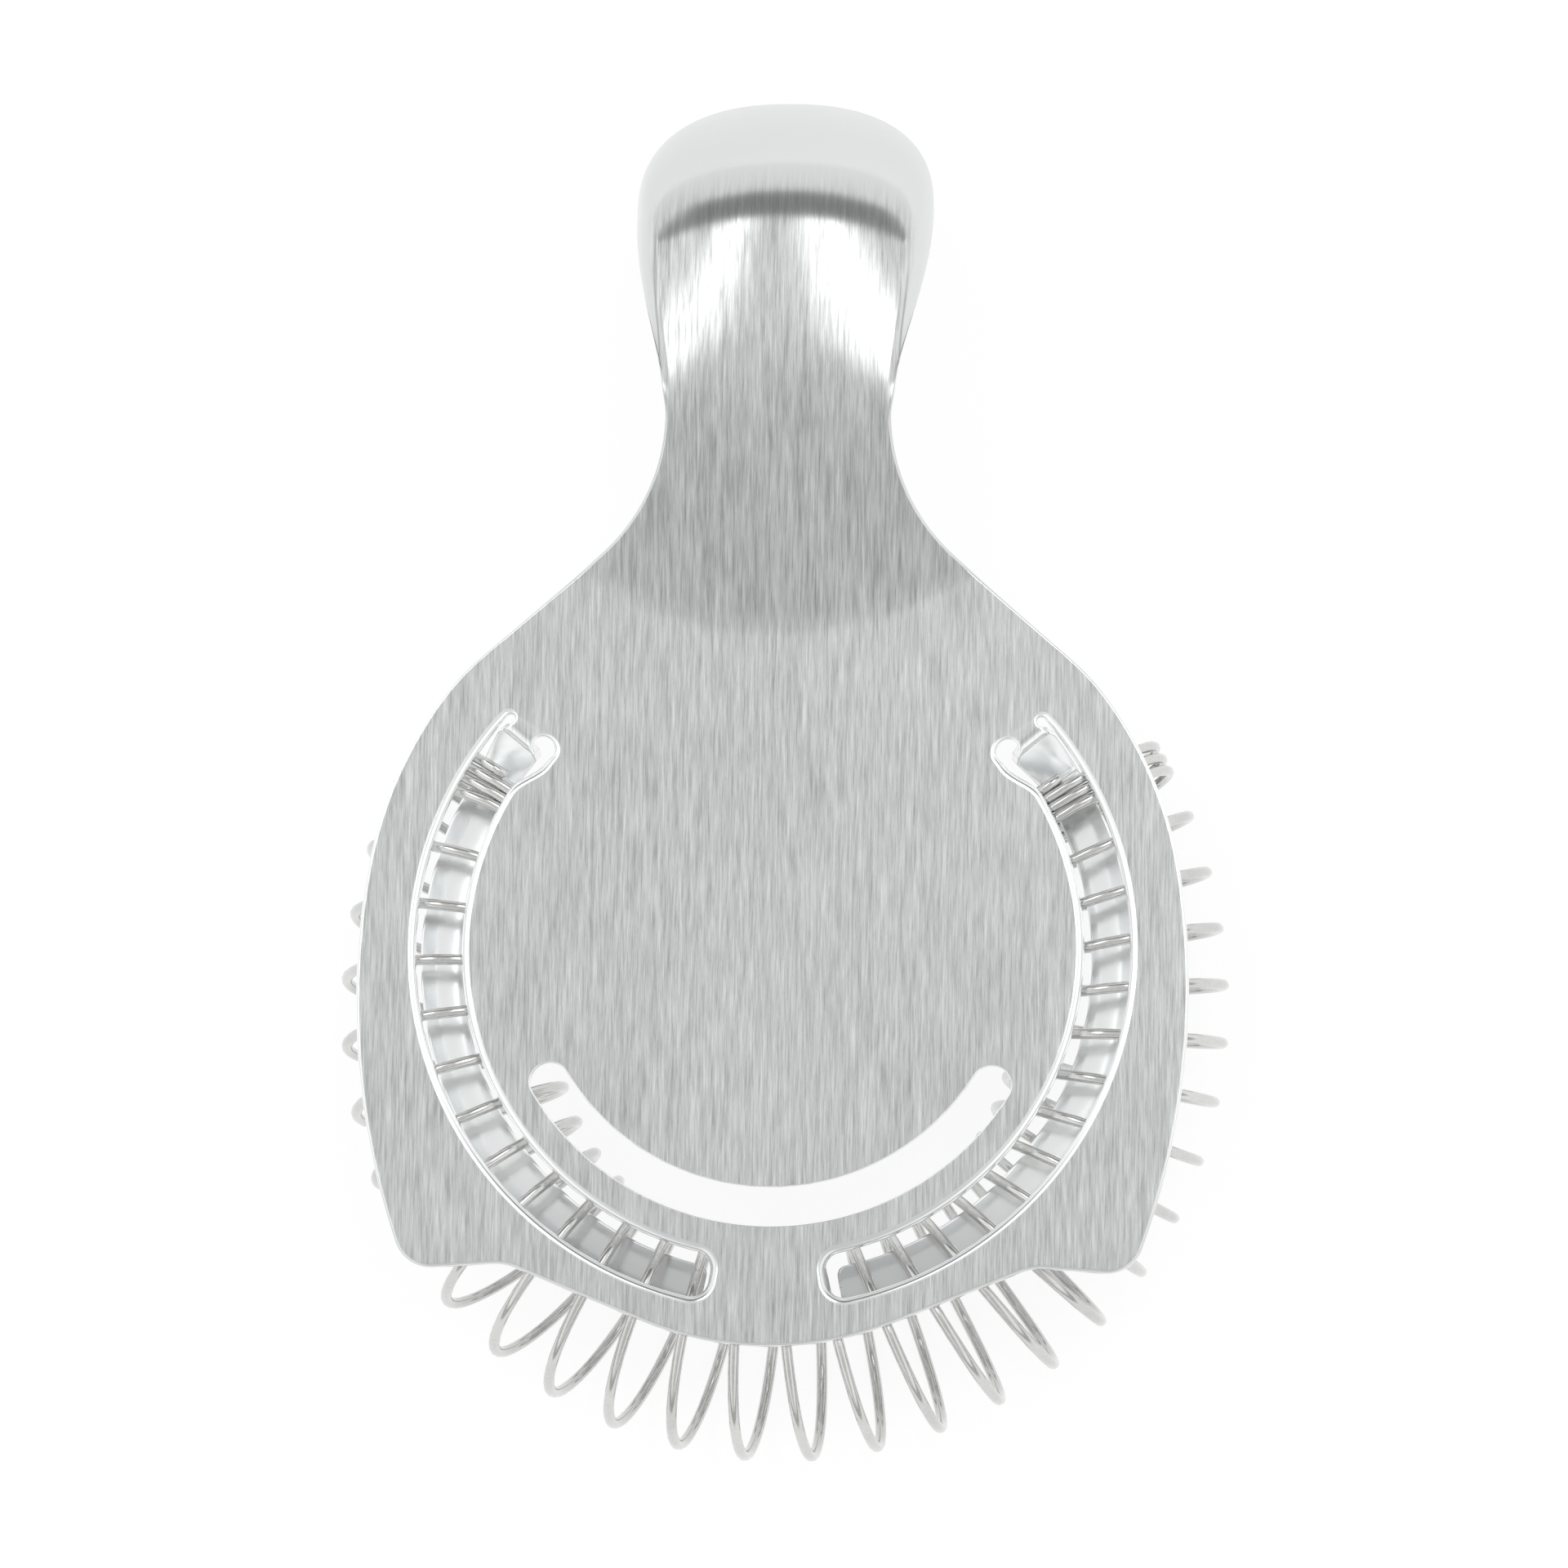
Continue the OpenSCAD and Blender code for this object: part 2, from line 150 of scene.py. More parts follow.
# Mesh fineness: steps along each run
STRAIGHT_STEP = 1.5    # millimetres on the plate's straight edges
ARC_STEP = 1.5         # degrees on its wide arcs, and fewer steps on tight ones
TIGHT_R = 6
WIDE_R = 12
SIDE_STATIONS = 70
CAP_STATIONS = 44
FACE_COLUMNS = 20
RIM_COLUMNS = 16
POUR_STEPS = 120
POUR_END_STEPS = 24
BEND_STEPS = 10
RAMP_STEPS = 8
LEVEL_STEPS = 99
END_STEPS = 8
STRIP_COLUMNS = 12
SLOT_STEPS = 149
CORNER_STEPS = 8
LOBE_STEPS = 14
TURN_STEPS = 44
WIRE_SIDES = 12

# Where the brushing fades: 1 is brushed, 0 is smooth
UNDER_BRUSH = 0.4
EDGE_BRUSH = 0.5
RIM_BRUSH_DROP = 2.5   # drop of the rim over which the brushing stops
RIM_BRUSH_SHARE = 0.45  # share of the rim over which it stops
ROOT_BRUSH_LEN = 1.5   # length of strip over which it stops
LIP_BRUSH_POINTS = 6   # edge points from the root over which the lip's inner line gets it
LIP_GROWTH_POINTS = 18.2  # edge points from the root over which the lip grows to full width


def smooth(t):
    t = np.clip(t, 0.0, 1.0)
    return t * t * (3 - 2 * t)


def unit(v):
    return v / np.maximum(np.linalg.norm(v, axis=-1, keepdims=True), 1e-12)


def as_is(points):
    return points


def mirrored(points):
    return points * np.array([-1.0, 1.0, 1.0])


# ---- one mesh out of patches that share their borders --------------------------

class Sheet:
    """Collects patches with exact normals and welds their common borders."""

    def __init__(self):
        self.points = []
        self.normals = []
        self.brush = []
        self.faces = []
        self.count = 0

    def add(self, points, normals, brush, faces):
        points = np.asarray(points, float).reshape(-1, 3)
        self.points.append(points)
        self.normals.append(np.asarray(normals, float).reshape(-1, 3))
        self.brush.append(np.broadcast_to(np.asarray(brush, float).ravel(), (len(points),)))
        self.faces.extend([tuple(i + self.count for i in face) for face in faces])
        self.count += len(points)

    def grid(self, points, normals, brush, closed=False):
        """A patch of rows; closed joins each row's last point to its first."""
        rows, cols = points.shape[:2]
        faces = []
        for i in range(rows - 1):
            for j in range(cols if closed else cols - 1):
                k = (j + 1) % cols
                faces.append((i * cols + j, i * cols + k, (i + 1) * cols + k, (i + 1) * cols + j))
        self.add(points, normals, np.broadcast_to(brush, (rows, cols)), faces)

    def mesh(self, name):
        """Welded mesh in metres, wound along its normals, with those normals kept."""
        points = np.concatenate(self.points)
        normals = np.concatenate(self.normals)
        brush = np.concatenate(self.brush)
        keys, first, merged = np.unique(
            np.round(points, 4), axis=0, return_index=True, return_inverse=True
        )
        merged = merged.ravel()
        summed = np.zeros((len(keys), 3))
        np.add.at(summed, merged, normals)
        total = np.zeros(len(keys))
        shares = np.zeros(len(keys))
        np.add.at(total, merged, brush)
        np.add.at(shares, merged, 1.0)
        welded = unit(summed)
        place = points[first]
        faces = []
        for face in self.faces:
            ring = []
            for i in face:
                j = int(merged[i])
                if j not in ring:
                    ring.append(j)
            if len(ring) < 3:
                continue
            a, b, c = place[ring[0]], place[ring[1]], place[ring[2]]
            facing = np.cross(b - a, c - a)
            if len(ring) == 4:
                facing = facing + np.cross(c - a, place[ring[3]] - a)
            if facing @ welded[ring].sum(axis=0) < 0:
                ring.reverse()
            faces.append(ring)
        mesh = bpy.data.meshes.new(name)
        mesh.from_pydata((place * MM).tolist(), [], faces)
        attribute = mesh.attributes.new("brushed", "FLOAT", "POINT")
        attribute.data.foreach_set("value", (total / shares).astype(np.float32))
        mesh.shade_smooth()
        mesh.normals_split_custom_set_from_vertices(welded.tolist())
        return mesh


def rounded_edge(edge, up, out, sizes, top_steps=7, low_steps=3):
    """Rows of points and normals from the top face over a free edge to the underside.
    sizes holds the width and height on top and the radius underneath, per edge point."""
    top_w, top_h, low_r = (s[:, None] for s in sizes)
    points, normals = [], []
    for a in np.linspace(0, math.pi / 2, top_steps + 1):
        points.append(edge - out * top_w * (1 - math.sin(a)) - up * top_h * (1 - math.cos(a)))
        normals.append(out * math.sin(a) / top_w + up * math.cos(a) / top_h)
    for a in np.linspace(0, math.pi / 2, low_steps + 1):
        points.append(
            edge - out * low_r * (1 - math.cos(a)) - up * (SHEET_T - low_r * (1 - math.sin(a)))
        )
        normals.append(out * math.cos(a) - up * math.sin(a))
    points.append(edge - out * top_w - up * SHEET_T)
    normals.append(-up)
    return np.array(points), unit(np.array(normals))


def edge_frame(edge, up):
    """Directions square to a closed edge and in the sheet's surface, to the edge's right."""
    ahead = unit(np.roll(edge, -1, axis=0) - np.roll(edge, 1, axis=0))
    return unit(np.cross(ahead, up))


def constant(sizes, count):
    """The same edge sizes at every point of an edge."""
    return [np.full(count, s) for s in sizes]


# ---- plate outline -------------------------------------------------------------

def walk(point, heading, legs):
    """Points along legs of (turn, radius); a leg with no turn is straight and has a length."""
    points = [np.array(point, float)]
    for turn, size in legs:
        start = points[-1]
        h = math.radians(heading)
        if turn == 0:
            n = max(1, math.ceil(size / STRAIGHT_STEP))
            for i in range(1, n + 1):
                points.append(start + size * i / n * np.array([math.cos(h), math.sin(h)]))
            continue
        side = math.copysign(1, turn)
        n = max(2, math.ceil(abs(turn) * min(1, max(size, TIGHT_R) / WIDE_R) / ARC_STEP))
        for i in range(1, n + 1):
            e = h + math.radians(turn) * i / n
            reach = np.array([math.sin(e) - math.sin(h), math.cos(h) - math.cos(e)])
            points.append(start + size * side * reach)
        heading += turn
    return points


def half_outline():
    """Right half of the plate's edge, from the seam round the ear to the front's middle."""
    fillet_turn = math.radians(90 - SHOULDER_ANGLE)
    fillet_x = WAIST_HALF_W + NECK_FILLET_R * (1 - math.cos(fillet_turn))
    fillet_y = WAIST_Y - NECK_FILLET_R * math.sin(fillet_turn)
    rise = math.tan(math.radians(SHOULDER_ANGLE))
    to_side = SHOULDER_LEN - (fillet_y - SEAM_Y) / math.sin(math.radians(SHOULDER_ANGLE))
    side_heading = -SHOULDER_ANGLE + sum(turn for turn, radius in SIDE_TURNS)
    legs = [(0, to_side)] + SIDE_TURNS + [
        (-180 - EAR_RISE - side_heading, EAR_R),
        (0, EAR_FRONT),
        (NOTCH_TURN, NOTCH_R),
    ]
    seam_end = (fillet_x + (fillet_y - SEAM_Y) / rise, SEAM_Y)
    side = walk(seam_end, -SHOULDER_ANGLE, legs)
    front_turn = NOTCH_TURN - EAR_RISE
    turn = math.radians(front_turn)
    straight = (side[-1][0] - FRONT_R * math.sin(turn)) / math.cos(turn)
    front = walk(side[-1], 180 + front_turn, [(0, straight), (-front_turn, FRONT_R)])
    return np.array(side + front[1:])


# ---- neck and handle -----------------------------------------------------------

def neck_rise(d):
    """Height of the neck at a distance past its bend line."""
    eased = NECK_SLOPE * d * d / (2 * BEND_SOFT)
    return np.where(d <= 0, 0, np.where(d < BEND_SOFT, eased, NECK_SLOPE * (d - BEND_SOFT / 2)))


def top_z(x, y):
    """Height of the brushed top face: the neck's bend, the arch and the crown of the handle."""
    arch = ARCH_RATE * np.maximum(0, y - ARCH_Y) ** 2 / 2
    past = np.maximum(0, y - CROWN_Y)
    crown = CROWN_RATE * past ** 2 / (past + CROWN_SOFT) * x * x / 2
    return neck_rise(y - BEND_Y - x * x / (2 * BEND_BOW_R)) - arch - crown


def edge_half(y):
    """Half width of the sheet from the seam to the handle's widest line."""
    turn = math.radians(90 - SHOULDER_ANGLE)
    fillet_x = WAIST_HALF_W + NECK_FILLET_R * (1 - math.cos(turn))
    fillet_y = WAIST_Y - NECK_FILLET_R * math.sin(turn)
    shoulder = fillet_x + (fillet_y - y) / math.tan(math.radians(SHOULDER_ANGLE))
    bow = np.sqrt(np.clip(NECK_FILLET_R ** 2 - (WAIST_Y - y) ** 2, 0, None))
    fillet = WAIST_HALF_W + NECK_FILLET_R - bow
    t = np.clip((y - WAIST_Y) / (WIDE_Y - WAIST_Y), 0, 1)
    late = (1 - np.cos(math.pi * t)) / 2
    share = late * (1 - FLARE_EARLY) + FLARE_EARLY * np.sin(math.pi / 2 * t)
    flare = WAIST_HALF_W + (HANDLE_HALF_W - WAIST_HALF_W) * share
    return np.where(y < fillet_y, shoulder, np.where(y < WAIST_Y, fillet, flare))


def rim_w(y):
    """Width of the turned-down rim seen from above."""
    return RIM_W_FLAT + (RIM_W_SIDE - RIM_W_FLAT) * smooth((y - WAIST_Y) / (WIDE_Y - WAIST_Y))


def rim_fall(y):
    """How far the rim's edge drops below the face's own height."""
    past = y - WAIST_Y - RIM_FALL_START
    return RIM_DROP_SIDE * smooth(past / (WIDE_Y - WAIST_Y + RIM_FALL_EXTRA))


def station(t):
    """Edge, fold and spine points and the rim's drop; t runs to 1 up the side, to 2 at the tip."""
    side = np.clip(t, 0, 1)
    a = np.clip(t - 1, 0, 1) * math.pi / 2
    c = np.cos(a) ** (2 / CAP_ROUND)
    s = np.sin(a) ** (2 / CAP_ROUND)
    y = SEAM_Y + (WIDE_Y - SEAM_Y) * side
    half = edge_half(y)
    on_cap = t > 1
    edge_x = np.where(on_cap, HANDLE_HALF_W * c, half)
    edge_y = np.where(on_cap, WIDE_Y + (HANDLE_TIP_Y - WIDE_Y) * s, y)
    fold_x = np.where(on_cap, (HANDLE_HALF_W - RIM_W_SIDE) * c, half - rim_w(y))
    fold_y = np.where(
        on_cap,
        FOLD_END_Y + (FOLD_TIP_Y - FOLD_END_Y) * (1 - c * c),
        SEAM_Y + (FOLD_END_Y - SEAM_Y) * side,
    )
    spine_y = SEAM_Y + (SPINE_END_Y - SEAM_Y) * side
    side_fall = rim_fall(WIDE_Y)
    tip_fall = side_fall + (RIM_DROP_TIP - side_fall) * smooth(t - 1)
    return edge_x, edge_y, fold_x, fold_y, spine_y, np.where(on_cap, tip_fall, rim_fall(y))


def handle_point(t, v):
    """A point of the top surface: v runs 0 to 1 from the spine to the fold, to 2 at the edge."""
    edge_x, edge_y, fold_x, fold_y, spine_y, fall = station(t)
    face = np.clip(v, 0, 1)
    r = np.clip(v - 1, 0, 1)
    pull = RIM_PULL_SIDE + (RIM_PULL_TIP - RIM_PULL_SIDE) * smooth(t - 1)
    reach = 2 * r * (1 - r) * pull + r * r
    x = fold_x * face + (edge_x - fold_x) * reach
    y = spine_y + (fold_y - spine_y) * face + (edge_y - fold_y) * reach
    return np.stack([x, y, top_z(x, y) - r * r * fall], axis=-1)


def handle_normal(t, v):
    """Normal of the top surface: from the height on the face, from neighbours on the rim."""
    h = 0.01     # millimetres
    e = 0.001    # shares of t and v
    p = handle_point(t, v)
    x, y = p[..., 0], p[..., 1]
    dx = (top_z(x + h, y) - top_z(x - h, y)) / (2 * h)
    dy = (top_z(x, y + h) - top_z(x, y - h)) / (2 * h)
    face = unit(np.stack([-dx, -dy, np.ones_like(dx)], axis=-1))
    across = handle_point(t, np.minimum(v + e, 2)) - handle_point(t, v - e)
    ahead = handle_point(np.minimum(t + e, 2), v) - handle_point(np.maximum(t - e, 0), v)
    at_tip = (t >= 2 - 1e-9)[..., None]
    ahead = np.where(at_tip, np.array([-1.0, 0.0, 0.0]), ahead)
    rim = unit(np.cross(across, ahead))
    return np.where((v > 1)[..., None], rim, face)


def add_plate_and_handle(sheet):
    """Adds the outer edge, the neck and the handle; returns the flat plate's outer border."""
    half = half_outline()
    half = np.column_stack([half, np.zeros(len(half))])
    plate = np.concatenate([half, mirrored(half[:-1])[::-1]])
    t = np.concatenate([
        np.linspace(0, 1, SIDE_STATIONS + 1),
        1 + np.linspace(0, 1, CAP_STATIONS + 1)[1:],
    ])
    at_edge = np.full(len(t), 2.0)
    right = handle_point(t, at_edge)
    right_up = handle_normal(t, at_edge)
    plate_n = len(plate) - 1
    edge = np.concatenate([plate[:-1], mirrored(right)[:-1], right[::-1][:-1]])
    up = np.concatenate([
        np.tile(UP, (plate_n, 1)),
        mirrored(right_up)[:-1],
        right_up[::-1][:-1],
    ])
    out = edge_frame(edge, up)
    if np.sum(out * (edge - edge.mean(axis=0))) < 0:
        out = -out
    sizes = constant(OUTER_EDGE, len(edge))
    points, normals = rounded_edge(edge, up, out, sizes)

    # brushing reaches the outer edge on the plate and neck, and stops before the rim
    rim_share = smooth(station(t)[5] / RIM_BRUSH_DROP)
    keep = 1 - rim_share
    edge_brush = np.concatenate([np.ones(plate_n), keep[:-1], keep[::-1][:-1]])
    brush = np.zeros(points.shape[:2])
    brush[0] = edge_brush
    brush[1] = EDGE_BRUSH * edge_brush
    brush[-1] = UNDER_BRUSH * edge_brush
    sheet.grid(points, normals, brush, closed=True)

    inset = points[0]
    inset_right = np.concatenate([inset[plate_n + len(t) - 1:], inset[:1]])[::-1]
    columns = np.concatenate([
        np.linspace(0, 1, FACE_COLUMNS + 1),
        1 + np.linspace(0, 1, RIM_COLUMNS + 1)[1:],
    ])
    tt, vv = np.meshgrid(t, columns, indexing="ij")

    # the rim's columns stop where the rounded edge starts
    near = 0.03
    rim_len = np.linalg.norm(right - handle_point(t, at_edge - near), axis=1) / near
    last = 1 - OUTER_EDGE[0] / rim_len
    vv = np.where(vv > 1, 1 + (vv - 1) * last[:, None], vv)
    top = handle_point(tt, vv)
    up_top = handle_normal(tt, vv)
    top[:, -1] = inset_right
    up_top[:, -1] = right_up
    grid_brush = 1 - smooth((vv - 1) / RIM_BRUSH_SHARE) * rim_share[:, None]
    under = top - SHEET_T * up_top
    for turn in (as_is, mirrored):
        sheet.grid(turn(top), turn(up_top), grid_brush)
        sheet.grid(turn(under), turn(-up_top), UNDER_BRUSH * grid_brush)

    seam = np.concatenate([mirrored(top[0])[::-1][:-1], top[0]])
    return np.concatenate([inset[:len(plate)], seam[1:-1]])


# ---- slots ---------------------------------------------------------------------

def pour_slot_edge():
    """Closed edge of the curved pour slot."""
    start = math.radians(POUR_END - 180)
    end = math.radians(-POUR_END)
    half = POUR_W / 2
    steps = np.linspace(start, end, POUR_STEPS)
    outer = [(POUR_R + half) * np.array([math.cos(a), math.sin(a)]) for a in steps]
    inner = [(POUR_R - half) * np.array([math.cos(a), math.sin(a)]) for a in steps[::-1]]

    def round_end(polar, side):
        middle = POUR_R * np.array([math.cos(polar), math.sin(polar)])
        angles = polar + side * np.linspace(0, math.pi, POUR_END_STEPS + 1)[1:-1]
        return [middle + half * np.array([math.cos(a), math.sin(a)]) for a in angles]

    closing = round_end(start, -1)[::-1]
    edge = np.array(outer + round_end(end, 1) + inner + closing)
    return np.column_stack([edge, np.zeros(len(edge))])


BEND_LEN = STRIP_BEND_R * STRIP_TILT
BEND_RUN = STRIP_BEND_R * math.sin(STRIP_TILT)
BEND_DEPTH = STRIP_BEND_R * (1 - math.cos(STRIP_TILT))
RAMP_LEN = (STRIP_DROP - 2 * BEND_DEPTH) / math.sin(STRIP_TILT)
LEVEL_RUN = 2 * BEND_RUN + RAMP_LEN * math.cos(STRIP_TILT)
LEVEL_LEN = 2 * BEND_LEN + RAMP_LEN
FREE_RUN = math.radians(ROOT_ANGLE + TRACK_END - STRIP_END_GAP) * TRACK_R
STRIP_LEN = LEVEL_LEN + FREE_RUN - LEVEL_RUN
SLOT_LEN = math.radians(ROOT_ANGLE + TRACK_END) * TRACK_R


def strip_profile(length):
    """Run along the ring, depth and tilt of the strip at a length along its sheet."""
    a = np.clip(length, 0, BEND_LEN) / STRIP_BEND_R
    straight = np.clip(length - BEND_LEN, 0, RAMP_LEN)
    b = np.clip(length - BEND_LEN - RAMP_LEN, 0, BEND_LEN) / STRIP_BEND_R
    level = np.maximum(length - LEVEL_LEN, 0)
    tilt = a - b
    run = (
        STRIP_BEND_R * np.sin(a)
        + straight * math.cos(STRIP_TILT)
        + STRIP_BEND_R * (math.sin(STRIP_TILT) - np.sin(STRIP_TILT - b))
        + level
    )
    depth = (
        STRIP_BEND_R * (1 - np.cos(a))
        + straight * math.sin(STRIP_TILT)
        + STRIP_BEND_R * (np.cos(STRIP_TILT - b) - math.cos(STRIP_TILT))
    )
    return run, depth, tilt


def on_ring(run, offset, depth=0.0):
    """A point by its run along the track from the root and its offset outwards."""
    polar = math.radians(ROOT_ANGLE) - run / TRACK_R
    r = TRACK_R + offset
    return np.stack([r * np.cos(polar), r * np.sin(polar), 0 * polar - depth], axis=-1)


def strip_half(length, inner):
    """Half width of the strip: narrow at the root, flared on its inner side, round at its end."""
    wide = STRIP_W / 2 + (STRIP_FLARE * (1 - smooth(length / LEVEL_LEN)) if inner else 0)
    half = ROOT_HALF_W + (wide - ROOT_HALF_W) * smooth(length / STRIP_FLARE_LEN)
    past = np.clip(length - STRIP_LEN + STRIP_CORNER_R, 0, STRIP_CORNER_R)
    return half - STRIP_CORNER_R + np.sqrt(STRIP_CORNER_R ** 2 - past ** 2)


def strip_point(length, share):
    """Point and normal on the strip's top face; share runs -1 inside to 1 outside."""
    run, depth, tilt = strip_profile(length)
    half = np.where(share > 0, strip_half(length, False), strip_half(length, True))
    polar = math.radians(ROOT_ANGLE) - run / TRACK_R
    outward = np.stack([np.cos(polar), np.sin(polar), 0 * polar], axis=-1)
    ahead = np.stack([np.sin(polar), -np.cos(polar), 0 * polar], axis=-1)
    up = np.sin(tilt)[..., None] * ahead + np.cos(tilt)[..., None] * UP
    fall = STRIP_CROWN * smooth(length / LEVEL_LEN)
    splay = STRIP_OUT * smooth(length / LEVEL_LEN)
    point = on_ring(run, half * share + splay, depth) - (fall * share * share)[..., None] * up
    lean = 2 * fall * share / half
    return point, unit(up + lean[..., None] * outward)


def lobe(offset_from, offset_to):
    """Half circle at the root between two offsets, behind the root line."""
    middle = (offset_from + offset_to) / 2
    radius = (offset_to - offset_from) / 2
    a = np.linspace(0, math.pi, LOBE_STEPS + 1)[1:-1]
    return on_ring(-np.abs(radius) * np.sin(a), middle - radius * np.cos(a))


def slot_inner_offset(run):
    """Inner side of the slot: widened beside the root, then even."""
    end = smooth((run - LOBE_HOLD) / (LOBE_LEN - LOBE_HOLD))
    return -TRACK_W / 2 - (LOBE_IN - TRACK_W / 2) * (1 - end)


def add_track_slot(sheet, turn):
    """Adds a strip and the rolled lip of its slot; returns the hole in the flat plate."""
    lengths = np.concatenate([
        np.linspace(0, BEND_LEN, BEND_STEPS + 1)[:-1],
        np.linspace(BEND_LEN, BEND_LEN + RAMP_LEN, RAMP_STEPS + 1)[:-1],
        np.linspace(BEND_LEN + RAMP_LEN, LEVEL_LEN, BEND_STEPS + 1)[:-1],
        np.linspace(LEVEL_LEN, STRIP_LEN - STRIP_CORNER_R, LEVEL_STEPS + 1)[:-1],
        STRIP_LEN - STRIP_CORNER_R * (1 - np.sin(np.linspace(0, math.pi / 2, END_STEPS + 1))),
    ])
    shares = np.linspace(-1, 1, STRIP_COLUMNS + 1)
    n = len(lengths)
    out_edge, out_up = strip_point(lengths, np.ones(n))
    in_edge, in_up = strip_point(lengths, -np.ones(n))
    end_shares = shares[::-1][1:-1]
    end_edge, end_up = strip_point(np.full(len(end_shares), STRIP_LEN), end_shares)

    # the plate's side of the slit, from the inner root corner round to the outer one
    corner_mid = TRACK_W / 2 - TRACK_CORNER_R
    corner_run = SLOT_LEN - TRACK_CORNER_R
    inner_runs = np.linspace(0, corner_run, SLOT_STEPS + 1)
    outer_runs = inner_runs[::-1]
    corner = np.linspace(0, math.pi / 2, CORNER_STEPS + 1)
    in_corner = on_ring(
        corner_run + TRACK_CORNER_R * np.sin(corner), -corner_mid - TRACK_CORNER_R * np.cos(corner)
    )
    out_corner = on_ring(
        corner_run + TRACK_CORNER_R * np.cos(corner), corner_mid + TRACK_CORNER_R * np.sin(corner)
    )
    plate_side = np.concatenate([
        lobe(-ROOT_HALF_W, -LOBE_IN),
        on_ring(inner_runs, slot_inner_offset(inner_runs))[:-1],
        in_corner,
        out_corner,
        on_ring(outer_runs, np.full(len(outer_runs), TRACK_W / 2))[1:],
        lobe(TRACK_W / 2, ROOT_HALF_W),
    ])
    edge = np.concatenate([out_edge, end_edge, in_edge[::-1], plate_side])
    strip_n = 2 * n + len(end_shares)
    up = np.concatenate([out_up, end_up, in_up[::-1], np.tile(UP, (len(plate_side), 1))])
    out = edge_frame(edge, up)
    if out[n // 2] @ edge[n // 2] < 0:
        out = -out

    # the lip is wide on the plate and narrow on the strip, and changes next to the root
    k = np.arange(len(plate_side))
    to_end = np.minimum(k, len(plate_side) - 1 - k)
    share = np.concatenate([np.zeros(strip_n), smooth(to_end / LIP_GROWTH_POINTS)])
    sizes = [a + (b - a) * share for a, b in zip(STRIP_EDGE, LIP_EDGE)]
    points, normals = rounded_edge(edge, up, out, sizes)
    brush = np.zeros(points.shape[:2])
    brush[0, strip_n:] = smooth(to_end / LIP_BRUSH_POINTS)
    sheet.grid(turn(points), turn(normals), brush, closed=True)

    inset = points[0]
    ss, ll = np.meshgrid(shares, lengths)
    top, up_top = strip_point(ll, ss * (1 - STRIP_EDGE[0] / strip_half(ll, True)))
    top[:, -1] = inset[:n]
    up_top[:, -1] = out_up
    top[:, 0] = inset[strip_n - n:strip_n][::-1]
    up_top[:, 0] = in_up
    top[-1, 1:-1] = inset[n:n + len(end_shares)][::-1]
    up_top[-1, 1:-1] = end_up[::-1]
    root = np.linspace(0, 1, len(shares))[:, None]
    top[0] = top[0, 0] + (top[0, -1] - top[0, 0]) * root
    up_top[0] = UP
    root_brush = 1 - smooth(lengths / ROOT_BRUSH_LEN)
    sheet.grid(turn(top), turn(up_top), root_brush[:, None])
    sheet.grid(turn(top - SHEET_T * up_top), turn(-up_top), 0.0)

    border = np.concatenate([inset[strip_n - 1:], inset[:1], top[0, 1:-1][::-1]])
    return turn(border)


def inside(point, ring):
    """Even-odd test of points against a closed ring."""
    x, y = point[:, 0][:, None], point[:, 1][:, None]
    x0, y0 = ring[:, 0], ring[:, 1]
    x1, y1 = np.roll(x0, -1), np.roll(y0, -1)
    crosses = (y0 > y) != (y1 > y)
    with np.errstate(divide="ignore", invalid="ignore"):
        at = x0 + (y - y0) / (y1 - y0) * (x1 - x0)
    return (crosses & (x < at)).sum(axis=1) % 2 == 1


def add_flat_faces(sheet, outline, holes):
    """Fills the flat plate between its outer border and the holes, on both faces."""
    coords, edges = [], []
    for ring in [outline] + holes:
        start = len(coords)
        coords.extend(Vector(p[:2]) for p in ring)
        n = len(ring)
        edges.extend((start + i, start + (i + 1) % n) for i in range(n))
    verts, _, faces, *_ = geometry.delaunay_2d_cdt(coords, edges, [], 0, 1e-7)
    flat = np.array([(v.x, v.y, 0.0) for v in verts])
    middles = np.array([flat[list(face)].mean(axis=0) for face in faces])
    wanted = inside(middles, outline)
    for hole in holes:
        wanted &= ~inside(middles, hole)
    kept = [tuple(face) for face, keep in zip(faces, wanted) if keep]
    sheet.add(flat, np.tile(UP, (len(flat), 1)), 1.0, kept)
    under = flat - SHEET_T * UP
    sheet.add(under, np.tile(-UP, (len(flat), 1)), UNDER_BRUSH, kept)


def strainer_sheet():
    """The whole sheet body: plate, neck, handle, both strips and the pour slot."""
    sheet = Sheet()
    outline = add_plate_and_handle(sheet)
    holes = [add_track_slot(sheet, as_is), add_track_slot(sheet, mirrored)]
    edge = pour_slot_edge()
    up = np.tile(UP, (len(edge), 1))
    out = edge_frame(edge, up)
    outer = POUR_STEPS // 2
    if out[outer] @ edge[outer] > 0:
        out = -out
    sizes = constant(POUR_EDGE, len(edge))
    points, normals = rounded_edge(edge, up, out, sizes, top_steps=3, low_steps=2)
    brush = np.zeros(points.shape[:2])
    brush[0] = 1
    sheet.grid(points, normals, brush, closed=True)
    holes.append(points[0])
    add_flat_faces(sheet, outline, holes)
    return bpy.data.objects.new("brushed_sheet_body", sheet.mesh("brushed_sheet_body"))


# ---- coil spring ---------------------------------------------------------------

def bulge_rise(s):
    """Grows evenly towards the front and fades out softly behind it."""
    return (s + np.sqrt(s * s + BULGE_SOFT ** 2)) / 2 - BULGE_BASE


